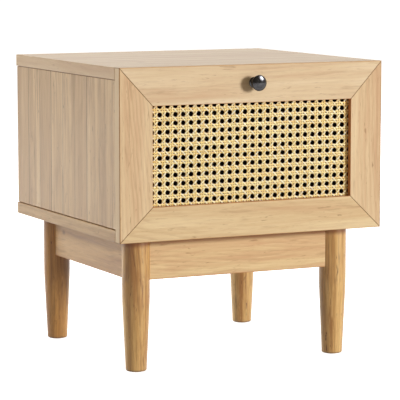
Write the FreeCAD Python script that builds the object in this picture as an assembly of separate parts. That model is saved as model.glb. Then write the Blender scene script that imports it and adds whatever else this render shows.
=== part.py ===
import FreeCAD, Part
import math
import os

from FreeCAD import Vector

# Nightstand on four turned legs, with one full-overlay drawer front that frames woven cane.
# Millimetres, +Z up, the drawer front faces -Y. The origin is on the floor, under the middle
# of the overall box, knob included.

# ---- overall sizes ----
WIDTH = 440.0
TOTAL_HEIGHT = 460.0
LEG_HEIGHT = 203.0
CARCASE_DEPTH = 391.0
FRONT_THICKNESS = 16.0
FRONT_GAP = 1.0
KNOB_PROJECTION = 23.0

# ---- carcase boards ----
BOARD = 18.0
SIDE = 16.0
SIDE_RECESS = 1.75
SHADOW_GROOVE = 1.0
BACK = 3.0
BACK_INSET = 8.0
GROOVE_DEPTH = 5.0
EDGE_RADIUS = 0.7

# ---- drawer front frame ----
STILE_WIDTH = 53.5
TOP_RAIL_HEIGHT = 57.0
BOTTOM_RAIL_HEIGHT = 51.0
REBATE = 8.0
MITRE_GAP = 0.05
MITRE_BEVEL = 0.5
CANE_RECESS = 8.0
CANE_THICKNESS = 2.0
BACKING_THICKNESS = 3.0
BEAD_THICKNESS = 3.0
CANE_PITCH = 12.8
CANE_HOLE_RADIUS = 3.2
CANE_FIRST_COLUMN_X = -164.2
CANE_FIRST_ROW_DROP = 58.3
CANE_COLUMNS = 27
CANE_ROWS = 12

# ---- base ----
LEG_RADIUS = 21.0
FOOT_RADIUS = 16.0
TAPER_START = 110.0
TAPER_BLEND = 12.0
FOOT_ROUNDING = 2.5
LEG_X = 168.5
LEG_END_INSET = 40.5
APRON_HEIGHT = 64.0
APRON_THICKNESS = 16.0
APRON_PROUD = 10.0
GLIDE_RADIUS = 11.0
GLIDE_SHOWING = 1.0
BLOCK_HEIGHT = 44.0
BLOCK_NEAR = 22.0
BLOCK_FAR = 40.0

# ---- drawer box ----
DRAWER_WALL = 12.0
DRAWER_Z0 = 231.0
DRAWER_Z1 = 424.0
DRAWER_LENGTH = 354.0
DRAWER_FLOOR = 4.0
DRAWER_FLOOR_Z = 246.1

# ---- telescopic slides: u is the distance from the carcase side, w the height from mid-slide ----
SLIDE_LENGTH = 350.0
SLIDE_WIDTH = 12.7
SLIDE_SETBACK = 2.0
SLIDE_Z = 300.0
SLIDE_GAUGE = 1.2
CAGE_GAUGE = 0.6
BALL_RADIUS = 2.0
RACE_RADIUS = 2.8
OUTER_BALL_U = 6.4
OUTER_BALL_W = 19.3
INNER_BALL_U = 8.4
INNER_BALL_W = 13.7
MIDDLE_FLANGE_W = 16.5
CAGE_LENGTH = 150.0
BALLS_PER_ROW = 6

# ---- fastener clearances ----
CLEAR = 0.1
DOWEL_RADIUS = 4.0

# ---- places worked out from the sizes above ----
TOTAL_DEPTH = KNOB_PROJECTION + FRONT_THICKNESS + FRONT_GAP + CARCASE_DEPTH
FRONT_Y = KNOB_PROJECTION - TOTAL_DEPTH / 2
FRONT_BACK_Y = FRONT_Y + FRONT_THICKNESS
CARCASE_Y0 = FRONT_BACK_Y + FRONT_GAP
CARCASE_Y1 = CARCASE_Y0 + CARCASE_DEPTH
HALF = WIDTH / 2
SIDE_OUT = HALF - SIDE_RECESS
SIDE_IN = SIDE_OUT - SIDE
SIDE_MID = (SIDE_OUT + SIDE_IN) / 2
INNER_Z0 = LEG_HEIGHT + BOARD
INNER_Z1 = TOTAL_HEIGHT - BOARD
BACK_Y1 = CARCASE_Y1 - BACK_INSET
BACK_Y0 = BACK_Y1 - BACK
OPEN_X = HALF - STILE_WIDTH
OPEN_Z0 = LEG_HEIGHT + BOTTOM_RAIL_HEIGHT
OPEN_Z1 = TOTAL_HEIGHT - TOP_RAIL_HEIGHT
LEG_Y = (CARCASE_Y0 + LEG_END_INSET, CARCASE_Y1 - LEG_END_INSET)
DRAWER_OUT = SIDE_IN - SLIDE_WIDTH
DRAWER_IN = DRAWER_OUT - DRAWER_WALL
DRAWER_Y1 = FRONT_BACK_Y + DRAWER_LENGTH
SLIDE_Y0 = CARCASE_Y0 + SLIDE_SETBACK
CAGE_Y0 = SLIDE_Y0 + (SLIDE_LENGTH - CAGE_LENGTH) / 2
SIGNS = (-1, 1)


# ---------------------------------------------------------------- helpers

def box(x_span, y_span, z_span):
    """A block between two corners, given as one span per axis."""
    size = [max(span) - min(span) for span in (x_span, y_span, z_span)]
    corner = Vector(min(x_span), min(y_span), min(z_span))
    return Part.makeBox(size[0], size[1], size[2], corner)


def rod(point, direction, radius, length):
    return Part.makeCylinder(radius, length, Vector(*point), Vector(*direction))


def prism(points, direction):
    """A polygon of points, extruded along direction."""
    corners = [Vector(*p) for p in points]
    return Part.Face(Part.makePolygon(corners + corners[:1])).extrude(Vector(*direction))


def turned(edges):
    """A solid of revolution about Z from a closed outline in the XZ plane."""
    return Part.Face(Part.Wire(edges)).revolve(Vector(0, 0, 0), Vector(0, 0, 1), 360)


def turned_points(points):
    """A solid of revolution about Z from (radius, height) corners."""
    corners = [Vector(r, 0, h) for r, h in points]
    return turned(Part.makePolygon(corners + corners[:1]).Edges)


def aim(shape, point, direction):
    """A copy of a shape drawn along +Z from the origin, aimed along direction from point."""
    copy = shape.copy()
    turn = FreeCAD.Rotation(Vector(0, 0, 1), Vector(*direction))
    copy.Placement = FreeCAD.Placement(Vector(*point), turn)
    return copy


def mirrored(shape):
    return shape.mirror(Vector(0, 0, 0), Vector(1, 0, 0))


def rounded(shape, radius=EDGE_RADIUS):
    return shape.makeFillet(radius, shape.Edges)


def cut(shape, tools):
    """The shape with every tool taken away, as one solid."""
    result = shape.cut(tools) if tools else shape
    return result.Solids[0]


def save(name, shape):
    """Write one node: a solid, or a list of separate solids."""
    node = Part.makeCompound(shape) if isinstance(shape, list) else shape
    node.exportStep(f"parts/{name}.step")


# ---------------------------------------------------------------- fasteners

def screw_outline(length, shank, head, grow=0.0):
    """A countersunk screw drawn along +Z, its flat head at the origin."""
    head_depth = head - shank
    tip = 2 * shank
    return turned_points([
        (0, 0),
        (head + grow, 0),
        (shank + grow, head_depth),
        (shank + grow, length - tip),
        (0.3, length + grow),
        (0, length + grow),
    ])


def screw_solid(length, shank, head):
    """A countersunk screw with a cross recess in its head."""
    arm = 0.6 * head
    wall = 0.16 * head
    depth = 0.6 * (head - shank) + 0.8
    slots = [box((-arm, arm), (-wall, wall), (0, depth)), box((-wall, wall), (-arm, arm), (0, depth))]
    return cut(screw_outline(length, shank, head), slots)


def screws(places, length, shank, head):
    """Screws at (point, direction) places, and the clearance holes they need."""
    solid = screw_solid(length, shank, head)
    hole = screw_outline(length, shank, head, CLEAR)
    return [aim(solid, *place) for place in places], [aim(hole, *place) for place in places]


def dowels(places, radius, length):
    """Chamfered dowels centred on their places, and the holes they need."""
    end = length / 2
    bevel = 0.8
    solid = turned_points([
        (0, -end), (radius - bevel, -end), (radius, bevel - end),
        (radius, end - bevel), (radius - bevel, end), (0, end),
    ])
    hole = Part.makeCylinder(radius + CLEAR, length + 2 * CLEAR, Vector(0, 0, -end - CLEAR))
    return [aim(solid, *place) for place in places], [aim(hole, *place) for place in places]


# ---------------------------------------------------------------- carcase

JOINT_Y = (CARCASE_Y0 + 60, CARCASE_Y1 - 60)
CARCASE_DOWEL_Y = (CARCASE_Y0 + 28, CARCASE_Y1 - 30)
CAM_RADIUS = 7.5
CAM_DEPTH = 12.0
CAM_REACH = 34.0
CAM_BOLT_RADIUS = 3.0
CAM_BOLT_BITE = 11.0


def joint_ends():
    """Each end of each side panel: x sign, the board face's height, and the way into the side."""
    for sign in SIGNS:
        yield sign, INNER_Z0, 1
        yield sign, INNER_Z1, -1


def carcase_dowels():
    """Dowels between the side panels' ends and the top and bottom boards, 11 mm into the boards."""
    length = 30.0
    shift = length / 2 - 11
    places = [
        ((sign * SIDE_MID, y, z + up * shift), (0, 0, 1))
        for sign, z, up in joint_ends() for y in CARCASE_DOWEL_Y
    ]
    return dowels(places, DOWEL_RADIUS, length)


def cam_bolt():
    """A cam bolt along +Z: thread in the board below zero, shaft, neck and head above."""
    head_top = CAM_REACH + 2
    return turned_points([
        (0, -CAM_BOLT_BITE), (2, -CAM_BOLT_BITE), (CAM_BOLT_RADIUS, 2 - CAM_BOLT_BITE),
        (CAM_BOLT_RADIUS, 0), (3.5, 0), (3.5, 2), (CAM_BOLT_RADIUS, 2),
        (CAM_BOLT_RADIUS, CAM_REACH - 6), (2, CAM_REACH - 5), (2, head_top - 3),
        (3.4, head_top - 2.5), (3.4, head_top - 0.5), (2.4, head_top), (0, head_top),
    ])


def cam_fittings():
    """Cam bolts in the boards and cam locks in the side panels, with the holes for both."""
    bolts, locks, holes = [], [], []
    bolt = cam_bolt()
    channel = Part.makeCylinder(3.6, CAM_REACH + CAM_BOLT_BITE + 2.6, Vector(0, 0, -CAM_BOLT_BITE - 0.2))
    for sign, z, up in joint_ends():
        for y in JOINT_Y:
            place = ((sign * SIDE_MID, y, z), (0, 0, up))
            centre = (sign * SIDE_IN, y, z + up * CAM_REACH)
            outward = (sign, 0, 0)
            passage = aim(channel, *place)
            cross = box((-2.6, 2.6), (-0.5, 0.5), (0, 1.6)).fuse(box((-0.5, 0.5), (-2.6, 2.6), (0, 1.6)))
            lock = rod(centre, outward, CAM_RADIUS, CAM_DEPTH)
            bolts.append(aim(bolt, *place))
            locks.append(cut(lock, [passage, aim(cross, centre, outward)]))
            holes.append(passage)
            holes.append(rod(centre, outward, CAM_RADIUS + CLEAR, CAM_DEPTH + CLEAR))
    return bolts, locks, holes


def side_panel(holes):
    """The right side panel, with shadow grooves under and over it and a groove for the back."""
    panel = box((SIDE_IN, SIDE_OUT), (CARCASE_Y0, CARCASE_Y1), (INNER_Z0, INNER_Z1))
    lip = (SIDE_OUT - 2, SIDE_OUT + 1)
    long_y = (CARCASE_Y0 - 1, CARCASE_Y1 + 1)
    grooves = [
        box(lip, long_y, (INNER_Z1 - SHADOW_GROOVE, INNER_Z1 + 1)),
        box(lip, long_y, (INNER_Z0 - 1, INNER_Z0 + SHADOW_GROOVE)),
        back_groove(),
    ]
    return cut(panel, grooves + holes)


def back_groove():
    """The space the back panel's edge takes in the boards around it."""
    return box(
        (-SIDE_IN - GROOVE_DEPTH, SIDE_IN + GROOVE_DEPTH),
        (BACK_Y0 - CLEAR, BACK_Y1 + CLEAR),
        (INNER_Z0 - GROOVE_DEPTH, INNER_Z1 + GROOVE_DEPTH),
    )


def back_panel():
    reach = GROOVE_DEPTH - 0.5
    return box((-SIDE_IN - reach, SIDE_IN + reach), (BACK_Y0, BACK_Y1), (INNER_Z0 - reach, INNER_Z1 + reach))


def board(z_span, holes):
    """A full-width top or bottom board with softened edges."""
    blank = rounded(box((-HALF, HALF), (CARCASE_Y0, CARCASE_Y1), z_span))
    return cut(blank, [back_groove()] + holes)


def build_carcase(slide_holes, base_holes):
    dowel_solids, dowel_holes = carcase_dowels()
    cam_bolts, cam_locks, cam_holes = cam_fittings()
    holes = dowel_holes + cam_holes
    save("top_panel", board((INNER_Z1, TOTAL_HEIGHT), holes))
    save("bottom_panel", board((LEG_HEIGHT, INNER_Z0), holes + base_holes))
    right = side_panel([h for h in holes if h.BoundBox.Center.x > 0] + slide_holes)
    save("right_side_panel", right)
    save("left_side_panel", mirrored(right))
    save("back_panel", back_panel())
    save("carcase_dowels", dowel_solids)
    save("cam_bolts", cam_bolts)
    save("cam_locks", cam_locks)


# ---------------------------------------------------------------- base

GLIDE_PIN_RADIUS = 1.5
HANGER_RADIUS = 4.0
HANGER_Z = LEG_HEIGHT - BLOCK_HEIGHT / 2
HANGER_BITE = 25.0
HANGER_TAIL = 13.0
APRON_DOWEL_Z = (LEG_HEIGHT - 10, LEG_HEIGHT - 50)
APRON_DOWEL_LENGTH = 30.0
APRON_DOWEL_BITE = 12.0


def corners():
    """Each leg: its name, its axis, and the unit steps that point inwards."""
    for y, end in zip(LEG_Y, ("front", "rear")):
        for sign, side in zip(SIGNS, ("left", "right")):
            inward_y = 1 if end == "front" else -1
            yield f"{end}_{side}_leg", sign * LEG_X, y, -sign, inward_y


def leg():
    """A round leg on the Z axis: straight, a smooth start of the taper, then straight to the foot."""
    turn = math.atan2(LEG_RADIUS - FOOT_RADIUS, TAPER_START)
    foot_z = GLIDE_SHOWING
    low = Vector(LEG_RADIUS - TAPER_BLEND * math.sin(turn), 0, TAPER_START - TAPER_BLEND * math.cos(turn))
    mid = Vector(LEG_RADIUS - TAPER_BLEND * math.tan(turn / 4), 0, TAPER_START)
    high = Vector(LEG_RADIUS, 0, TAPER_START + TAPER_BLEND)
    bend = Vector(FOOT_RADIUS, 0, foot_z + FOOT_ROUNDING)
    flat = Vector(FOOT_RADIUS - FOOT_ROUNDING, 0, foot_z)
    corner = FOOT_ROUNDING * (1 - math.sqrt(0.5))
    round_mid = Vector(FOOT_RADIUS - corner, 0, foot_z + corner)
    top = Vector(LEG_RADIUS, 0, LEG_HEIGHT)
    axis_top = Vector(0, 0, LEG_HEIGHT)
    axis_foot = Vector(0, 0, foot_z)
    return turned([
        Part.makeLine(axis_foot, flat),
        Part.Arc(flat, round_mid, bend).toShape(),
        Part.makeLine(bend, low),
        Part.Arc(low, mid, high).toShape(),
        Part.makeLine(high, top),
        Part.makeLine(top, axis_top),
        Part.makeLine(axis_top, axis_foot),
    ])


def glide(grow=0.0):
    """A nail-on glide: a disc that stands proud of the foot, and its pin."""
    disc_top = GLIDE_SHOWING + 1.5
    return turned_points([
        (0, 0), (GLIDE_RADIUS - 1 + grow, 0), (GLIDE_RADIUS + grow, 1 - grow),
        (GLIDE_RADIUS + grow, disc_top + grow), (GLIDE_PIN_RADIUS + grow, disc_top + grow),
        (GLIDE_PIN_RADIUS + grow, 16), (0, 17 + grow),
    ])


def hanger_bolt():
    """A hanger bolt along +Z, from the leg's wood out to the nut."""
    start = BLOCK_NEAR - 1 - HANGER_BITE
    end = BLOCK_FAR + HANGER_TAIL
    return turned_points([
        (0, start), (HANGER_RADIUS, start + 5), (HANGER_RADIUS, end - 1), (HANGER_RADIUS - 1, end), (0, end),
    ])


def flange_nut():
    """A hexagon nut with a round flange, along +Z from the corner block's face."""
    seat = BLOCK_FAR
    flange = Part.makeCylinder(9, 1.6, Vector(0, 0, seat))
    half_flats = 6.5
    hex_radius = half_flats / math.cos(math.pi / 6)
    ring = [(hex_radius * math.cos(a), hex_radius * math.sin(a), seat + 1.6)
            for a in (math.pi / 3 * i for i in range(6))]
    body = flange.fuse(prism(ring, (0, 0, 6.5)))
    return cut(body, [Part.makeCylinder(HANGER_RADIUS + CLEAR, 20, Vector(0, 0, seat - 1))])


def corner_block():
    """A wooden block across a corner, drawn for a leg at the origin with both aprons on its + sides."""
    inner = APRON_THICKNESS - APRON_PROUD
    near = BLOCK_NEAR * math.sqrt(2) - inner
    far = BLOCK_FAR * math.sqrt(2) - inner
    bottom = LEG_HEIGHT - BLOCK_HEIGHT
    outline = [(near, inner, bottom), (far, inner, bottom), (inner, far, bottom), (inner, near, bottom)]
    return prism(outline, (0, 0, BLOCK_HEIGHT))


def at_corner(shape, x, y, step_x, step_y):
    """A shape drawn for the front left corner, turned about Z to suit the corner with these inward steps."""
    quarter = {(1, 1): 0, (-1, 1): 90, (-1, -1): 180, (1, -1): 270}[(step_x, step_y)]
    copy = shape.copy()
    copy.rotate(Vector(0, 0, 0), Vector(0, 0, 1), quarter)
    copy.translate(Vector(x, y, 0))
    return copy


def base_screws():
    """Two screws up through each corner block into the bottom board."""
    middle = (BLOCK_NEAR + BLOCK_FAR) / 2 / math.sqrt(2)
    spread = 11 / math.sqrt(2)
    places = []
    for _, x, y, step_x, step_y in corners():
        for shift in (-spread, spread):
            point = (x + step_x * (middle + shift), y + step_y * (middle - shift), LEG_HEIGHT - BLOCK_HEIGHT)
            places.append((point, (0, 0, 1)))
    return screws(places, 56, 2.25, 4.5)


def apron_dowels():
    """Two dowels at each apron end, running into the leg."""
    reach = LEG_RADIUS - APRON_DOWEL_BITE + APRON_DOWEL_LENGTH / 2
    offset = APRON_PROUD - APRON_THICKNESS / 2
    places = []
    for _, x, y, step_x, step_y in corners():
        for z in APRON_DOWEL_Z:
            places.append(((x + step_x * reach, y - step_y * offset, z), (1, 0, 0)))
            places.append(((x - step_x * offset, y + step_y * reach, z), (0, 1, 0)))
    return dowels(places, DOWEL_RADIUS, APRON_DOWEL_LENGTH)


def apron(x_span, y_span, tools):
    blank = box(x_span, y_span, (LEG_HEIGHT - APRON_HEIGHT, LEG_HEIGHT))
    return cut(blank, tools)


def build_base():
    """Legs, aprons and their joints. Returns the holes that the bottom board needs."""
    screw_solids, screw_holes = base_screws()
    dowel_solids, dowel_holes = apron_dowels()
    pocket = glide(CLEAR)
    hanger = hanger_bolt()
    hanger_hole = Part.makeCylinder(HANGER_RADIUS + CLEAR, 80, Vector(0, 0, BLOCK_NEAR - 2 - HANGER_BITE))
    nut = flange_nut()
    legs, posts, blocks, hangers, nuts, glides = {}, [], [], [], [], []
    for name, x, y, step_x, step_y in corners():
        axis = ((x, y, HANGER_Z), (step_x, step_y, 0))
        bolt_hole = aim(hanger_hole, *axis)
        spot = Vector(x, y, 0)
        legs[name] = cut(leg().translated(spot), dowel_holes + [bolt_hole, pocket.translated(spot)])
        posts.append(Part.makeCylinder(LEG_RADIUS + CLEAR, LEG_HEIGHT, spot))
        blocks.append(cut(at_corner(corner_block(), x, y, step_x, step_y), screw_holes + [bolt_hole]))
        hangers.append(aim(hanger, *axis))
        nuts.append(aim(nut, *axis))
        glides.append(glide().translated(spot))
    inner = APRON_THICKNESS - APRON_PROUD
    outer = APRON_PROUD
    along_x = (-LEG_X, LEG_X)
    tools = posts + dowel_holes
    save("front_apron", apron(along_x, (LEG_Y[0] - outer, LEG_Y[0] + inner), tools))
    save("rear_apron", apron(along_x, (LEG_Y[1] - inner, LEG_Y[1] + outer), tools))
    save("right_apron", apron((LEG_X - inner, LEG_X + outer), LEG_Y, tools))
    save("left_apron", apron((-LEG_X - outer, -LEG_X + inner), LEG_Y, tools))
    for name, shape in legs.items():
        save(name, shape)
    save("apron_dowels", dowel_solids)
    save("corner_blocks", blocks)
    save("hanger_bolts", hangers)
    save("flange_nuts", nuts)
    save("base_screws", screw_solids)
    save("leg_glides", glides)
    return screw_holes


# ---------------------------------------------------------------- drawer front

KNOB_Z = TOTAL_HEIGHT - 27.0
KNOB_SCREW_LENGTH = 24.0
FRONT_SCREW_X = 120.0
FRONT_SCREW_Z = (238.5, 417.5)


def frame_blank():
    """The whole front frame before it is split: softened edges, the opening and its rear rebate."""
    slab = box((-HALF, HALF), (FRONT_Y, FRONT_BACK_Y), (LEG_HEIGHT, TOTAL_HEIGHT))
    opening = box((-OPEN_X, OPEN_X), (FRONT_Y - 1, FRONT_BACK_Y + 1), (OPEN_Z0, OPEN_Z1))
    ring = slab.cut(opening)
    front_edges = [e for e in ring.Edges if e.BoundBox.YMax < FRONT_Y + 0.01]
    ring = ring.makeFillet(EDGE_RADIUS, front_edges)
    rebate = box(
        (-OPEN_X - REBATE, OPEN_X + REBATE),
        (FRONT_Y + CANE_RECESS, FRONT_BACK_Y + 1),
        (OPEN_Z0 - REBATE, OPEN_Z1 + REBATE),
    )
    return cut(ring, [rebate])


def mitre_planes():
    """The frame's outer corners and the opening's corners that the mitres join, in XZ."""
    outer = {(sx, sz): (sx * HALF, TOTAL_HEIGHT if sz > 0 else LEG_HEIGHT) for sx in SIGNS for sz in SIGNS}
    inner = {(sx, sz): (sx * OPEN_X, OPEN_Z1 if sz > 0 else OPEN_Z0) for sx in SIGNS for sz in SIGNS}
    return outer, inner


def frame_member(blank, ends, away, tools):
    """One rail or stile: the frame between two mitres, with a fine bevel along each mitre."""
    outer, inner = mitre_planes()
    first, second = ends
    slack_x, slack_z = away[0] * MITRE_GAP, away[1] * MITRE_GAP
    outline = [
        (x + slack_x, FRONT_Y - 1, z + slack_z)
        for x, z in (outer[first], outer[second], inner[second], inner[first])
    ]
    member = blank.common(prism(outline, (0, FRONT_THICKNESS + 2, 0))).Solids[0]
    bevels = []
    for key in ends:
        corner = Vector(outer[key][0], FRONT_Y, outer[key][1])
        along = Vector(inner[key][0], FRONT_Y, inner[key][1]) - corner
        bevels.append(mitre_groove(corner, along))
    return cut(member, bevels + tools)


def mitre_groove(corner, along):
    """A long square bar set on its edge, which cuts a shallow V along a mitre line."""
    length = along.Length + 20
    bar = Part.makeBox(2 * MITRE_BEVEL, 2 * MITRE_BEVEL, length, Vector(-MITRE_BEVEL, -MITRE_BEVEL, -10))
    bar.rotate(Vector(0, 0, 0), Vector(0, 0, 1), 45)
    turn = FreeCAD.Rotation(Vector(1, 0, 0), Vector(0, 1, 0), along, "ZYX")
    bar.Placement = FreeCAD.Placement(corner, turn).multiply(bar.Placement)
    bar.translate(Vector(0, -0.2, 0))
    return bar


def mitre_dowels():
    """Two thin dowels across each mitre, at right angles to it."""
    outer, inner = mitre_planes()
    places = []
    for key, start in outer.items():
        run_x = inner[key][0] - start[0]
        run_z = inner[key][1] - start[1]
        for share in (0.34, 0.67):
            point = (start[0] + share * run_x, FRONT_Y + FRONT_THICKNESS / 2, start[1] + share * run_z)
            places.append((point, (run_z, 0, -run_x)))
    return dowels(places, 3.0, 28.0)


def dome_arc(edge_radius, edge_height, top):
    """A spherical cap's outline, from its edge to its top on the axis."""
    rise = top - edge_height
    sphere = (edge_radius ** 2 + rise ** 2) / (2 * rise)
    half_angle = math.asin(edge_radius / sphere) / 2
    middle = Vector(sphere * math.sin(half_angle), 0, top - sphere * (1 - math.cos(half_angle)))
    return Part.Arc(Vector(edge_radius, 0, edge_height), middle, Vector(0, 0, top)).toShape()


def knob():
    """A turned knob along +Z from its seat: a base ring, a waist, a cone and a domed head."""
    height = KNOB_PROJECTION
    seat = [(0, 0), (8.25, 0), (8.25, 1.4), (7.6, 2.0)]
    lines = [Part.makeLine(Vector(a[0], 0, a[1]), Vector(b[0], 0, b[1])) for a, b in zip(seat, seat[1:])]
    waist = Part.Arc(Vector(7.6, 0, 2.0), Vector(6.2, 0, 5.2), Vector(7.2, 0, 8.6)).toShape()
    cone = Part.Arc(Vector(7.2, 0, 8.6), Vector(9.0, 0, 11.9), Vector(11.2, 0, 14.6)).toShape()
    rim = Part.Arc(Vector(11.2, 0, 14.6), Vector(12.0, 0, 16.4), Vector(11.4, 0, 18.3)).toShape()
    dome = dome_arc(11.4, 18.3, height)
    axis = Part.makeLine(Vector(0, 0, height), Vector(0, 0, 0))
    return turned(lines + [waist, cone, rim, dome, axis])


def cane_panel():
    """A flat sheet pierced on the cane's square grid of holes."""
    margin = REBATE - 0.25
    x0, x1 = -OPEN_X - margin, OPEN_X + margin
    z0, z1 = OPEN_Z0 - margin, OPEN_Z1 + margin
    y = FRONT_Y + CANE_RECESS
    corners_round = ((x0, y, z0), (x1, y, z0), (x1, y, z1), (x0, y, z1), (x0, y, z0))
    rim = Part.makePolygon([Vector(*p) for p in corners_round])
    holes = []
    for column in range(CANE_COLUMNS):
        for row in range(CANE_ROWS):
            x = CANE_FIRST_COLUMN_X + column * CANE_PITCH
            z = TOTAL_HEIGHT - CANE_FIRST_ROW_DROP - row * CANE_PITCH
            circle = Part.Circle(Vector(x, y, z), Vector(0, 1, 0), CANE_HOLE_RADIUS).toShape()
            holes.append(Part.Wire(circle))
    sheet = Part.Face(rim).cut([Part.Face(h) for h in holes]).Faces[0]
    return sheet.extrude(Vector(0, CANE_THICKNESS, 0))


def retaining_beads(y):
    """Four thin beads that hold the cane and its backing in the rebate."""
    span = (y, y + BEAD_THICKNESS)
    margin = REBATE - 0.25
    beads = []
    for z_edge, way in ((OPEN_Z0, -1), (OPEN_Z1, 1)):
        beads.append(box((-OPEN_X - margin, OPEN_X + margin), span, (z_edge, z_edge + way * margin)))
    for sign in SIGNS:
        heights = (OPEN_Z0 + CLEAR, OPEN_Z1 - CLEAR)
        beads.append(box((sign * OPEN_X, sign * (OPEN_X + margin)), span, heights))
    return beads


def build_front():
    """The front frame, its infill and the knob. Returns the front screws' holes."""
    places = [((sign * FRONT_SCREW_X, FRONT_BACK_Y + DRAWER_WALL, z), (0, -1, 0))
              for sign in SIGNS for z in FRONT_SCREW_Z]
    screw_solids, screw_holes = screws(places, 24, 1.75, 3.5)
    pin_solids, pin_holes = mitre_dowels()
    knob_place = ((0, FRONT_BACK_Y, KNOB_Z), (0, -1, 0))
    knob_screw = screw_solid(KNOB_SCREW_LENGTH, 2.0, 4.0)
    knob_hole = screw_outline(KNOB_SCREW_LENGTH, 2.0, 4.0, CLEAR)
    blank = frame_blank()
    tools = pin_holes + screw_holes + [aim(knob_hole, *knob_place)]
    save("front_top_rail", frame_member(blank, ((-1, 1), (1, 1)), (0, 1), tools))
    save("front_bottom_rail", frame_member(blank, ((-1, -1), (1, -1)), (0, -1), tools))
    save("front_left_stile", frame_member(blank, ((-1, -1), (-1, 1)), (-1, 0), tools))
    save("front_right_stile", frame_member(blank, ((1, -1), (1, 1)), (1, 0), tools))
    save("mitre_dowels", pin_solids)
    save("cane_panel", cane_panel())
    backing_y = FRONT_Y + CANE_RECESS + CANE_THICKNESS
    bead_y = backing_y + BACKING_THICKNESS
    margin = REBATE - 0.25
    save("cane_backing", box((-OPEN_X - margin, OPEN_X + margin), (backing_y, bead_y),
                             (OPEN_Z0 - margin, OPEN_Z1 + margin)))
    save("cane_retaining_beads", retaining_beads(bead_y))
    knob_solid = aim(knob(), (0, FRONT_Y, KNOB_Z), (0, -1, 0))
    save("knob", cut(knob_solid, [aim(knob_hole, *knob_place)]))
    save("knob_screw", aim(knob_screw, *knob_place))
    save("drawer_front_screws", screw_solids)
    return screw_holes


# ---------------------------------------------------------------- drawer box

BOX_SCREW_Z = (262.0, 400.0)


def build_drawer_box(front_holes, slide_holes):
    ends = (FRONT_BACK_Y + DRAWER_WALL / 2, DRAWER_Y1 - DRAWER_WALL / 2)
    places = [((sign * DRAWER_OUT, y, z), (-sign, 0, 0))
              for sign in SIGNS for y in ends for z in BOX_SCREW_Z]
    screw_solids, screw_holes = screws(places, 45, 2.5, 4.0)
    reach = GROOVE_DEPTH - 0.5
    floor_z = (DRAWER_FLOOR_Z, DRAWER_FLOOR_Z + DRAWER_FLOOR)
    groove = box(
        (-DRAWER_IN - GROOVE_DEPTH, DRAWER_IN + GROOVE_DEPTH),
        (FRONT_BACK_Y + DRAWER_WALL - GROOVE_DEPTH, DRAWER_Y1 - DRAWER_WALL + GROOVE_DEPTH),
        (floor_z[0] - CLEAR, floor_z[1] + CLEAR),
    )
    tall = (DRAWER_Z0, DRAWER_Z1)
    across = (-DRAWER_IN, DRAWER_IN)
    right = box((DRAWER_IN, DRAWER_OUT), (FRONT_BACK_Y, DRAWER_Y1), tall)
    right = cut(right, [groove] + screw_holes + slide_holes)
    save("drawer_right_side", right)
    save("drawer_left_side", mirrored(right))
    inner_front = box(across, (FRONT_BACK_Y, FRONT_BACK_Y + DRAWER_WALL), tall)
    save("drawer_inner_front", cut(inner_front, [groove] + screw_holes + front_holes))
    back = box(across, (DRAWER_Y1 - DRAWER_WALL, DRAWER_Y1), tall)
    save("drawer_back", cut(back, [groove] + screw_holes))
    save("drawer_bottom", box(
        (-DRAWER_IN - reach, DRAWER_IN + reach),
        (FRONT_BACK_Y + DRAWER_WALL - reach, DRAWER_Y1 - DRAWER_WALL + reach),
        floor_z,
    ))
    save("drawer_box_screws", screw_solids)


def bumpers():
    """Small clear dots on the back of the front, at the corners of the carcase's edge."""
    thickness = FRONT_GAP - 0.1
    return [rod((sign * SIDE_MID, FRONT_BACK_Y, z), (0, 1, 0), 4, thickness)
            for sign in SIGNS for z in (LEG_HEIGHT + 34, TOTAL_HEIGHT - 34)]


# ---------------------------------------------------------------- slides

SLIDE_SCREW_STEPS = (35.0, 163.0, 317.0)
RACE_HALF_ANGLE = math.radians(60)


def slide_point(u, w):
    """A point of the right slide's section, in the plane of its front end."""
    return Vector(SIDE_IN - u, SLIDE_Y0, SLIDE_Z + w)


def section_lines(points):
    return [Part.makeLine(slide_point(*a), slide_point(*b)) for a, b in zip(points, points[1:])]


def race(u, w, side):
    """An arc over (side 1) or under (side -1) a ball centre, and its two ends."""
    dx = RACE_RADIUS * math.sin(RACE_HALF_ANGLE)
    dw = side * RACE_RADIUS * math.cos(RACE_HALF_ANGLE)
    near, far = (u - dx, w + dw), (u + dx, w + dw)
    arc = Part.Arc(slide_point(*near), slide_point(u, w + side * RACE_RADIUS), slide_point(*far))
    return arc.toShape(), near, far


def rolled(edges, gauge, y0, length):
    """A strip of sheet that follows a centre line, extruded along the slide."""
    outline = Part.Wire(Part.sortEdges(edges)[0]).makeOffset2D(gauge / 2, 0, False, False, False)
    strip_solid = Part.Face(outline).extrude(Vector(0, length, 0))
    return strip_solid.translated(Vector(0, y0 - SLIDE_Y0, 0))


def outer_member():
    """The carcase member: a web on the side panel and races over the outer balls."""
    web = SLIDE_GAUGE / 2
    top, near, _ = race(OUTER_BALL_U, OUTER_BALL_W, 1)
    bottom, low_near, _ = race(OUTER_BALL_U, -OUTER_BALL_W, -1)
    path = [near, (web, near[1]), (web, low_near[1]), low_near]
    return rolled([top] + section_lines(path) + [bottom], SLIDE_GAUGE, SLIDE_Y0, SLIDE_LENGTH)


def middle_member():
    """The intermediate member: a plain channel between the two sets of balls."""
    web = 3.4
    edge = 10.4
    path = [(edge, MIDDLE_FLANGE_W), (web, MIDDLE_FLANGE_W),
            (web, -MIDDLE_FLANGE_W), (edge, -MIDDLE_FLANGE_W)]
    return rolled(section_lines(path), SLIDE_GAUGE, SLIDE_Y0, SLIDE_LENGTH)


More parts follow.
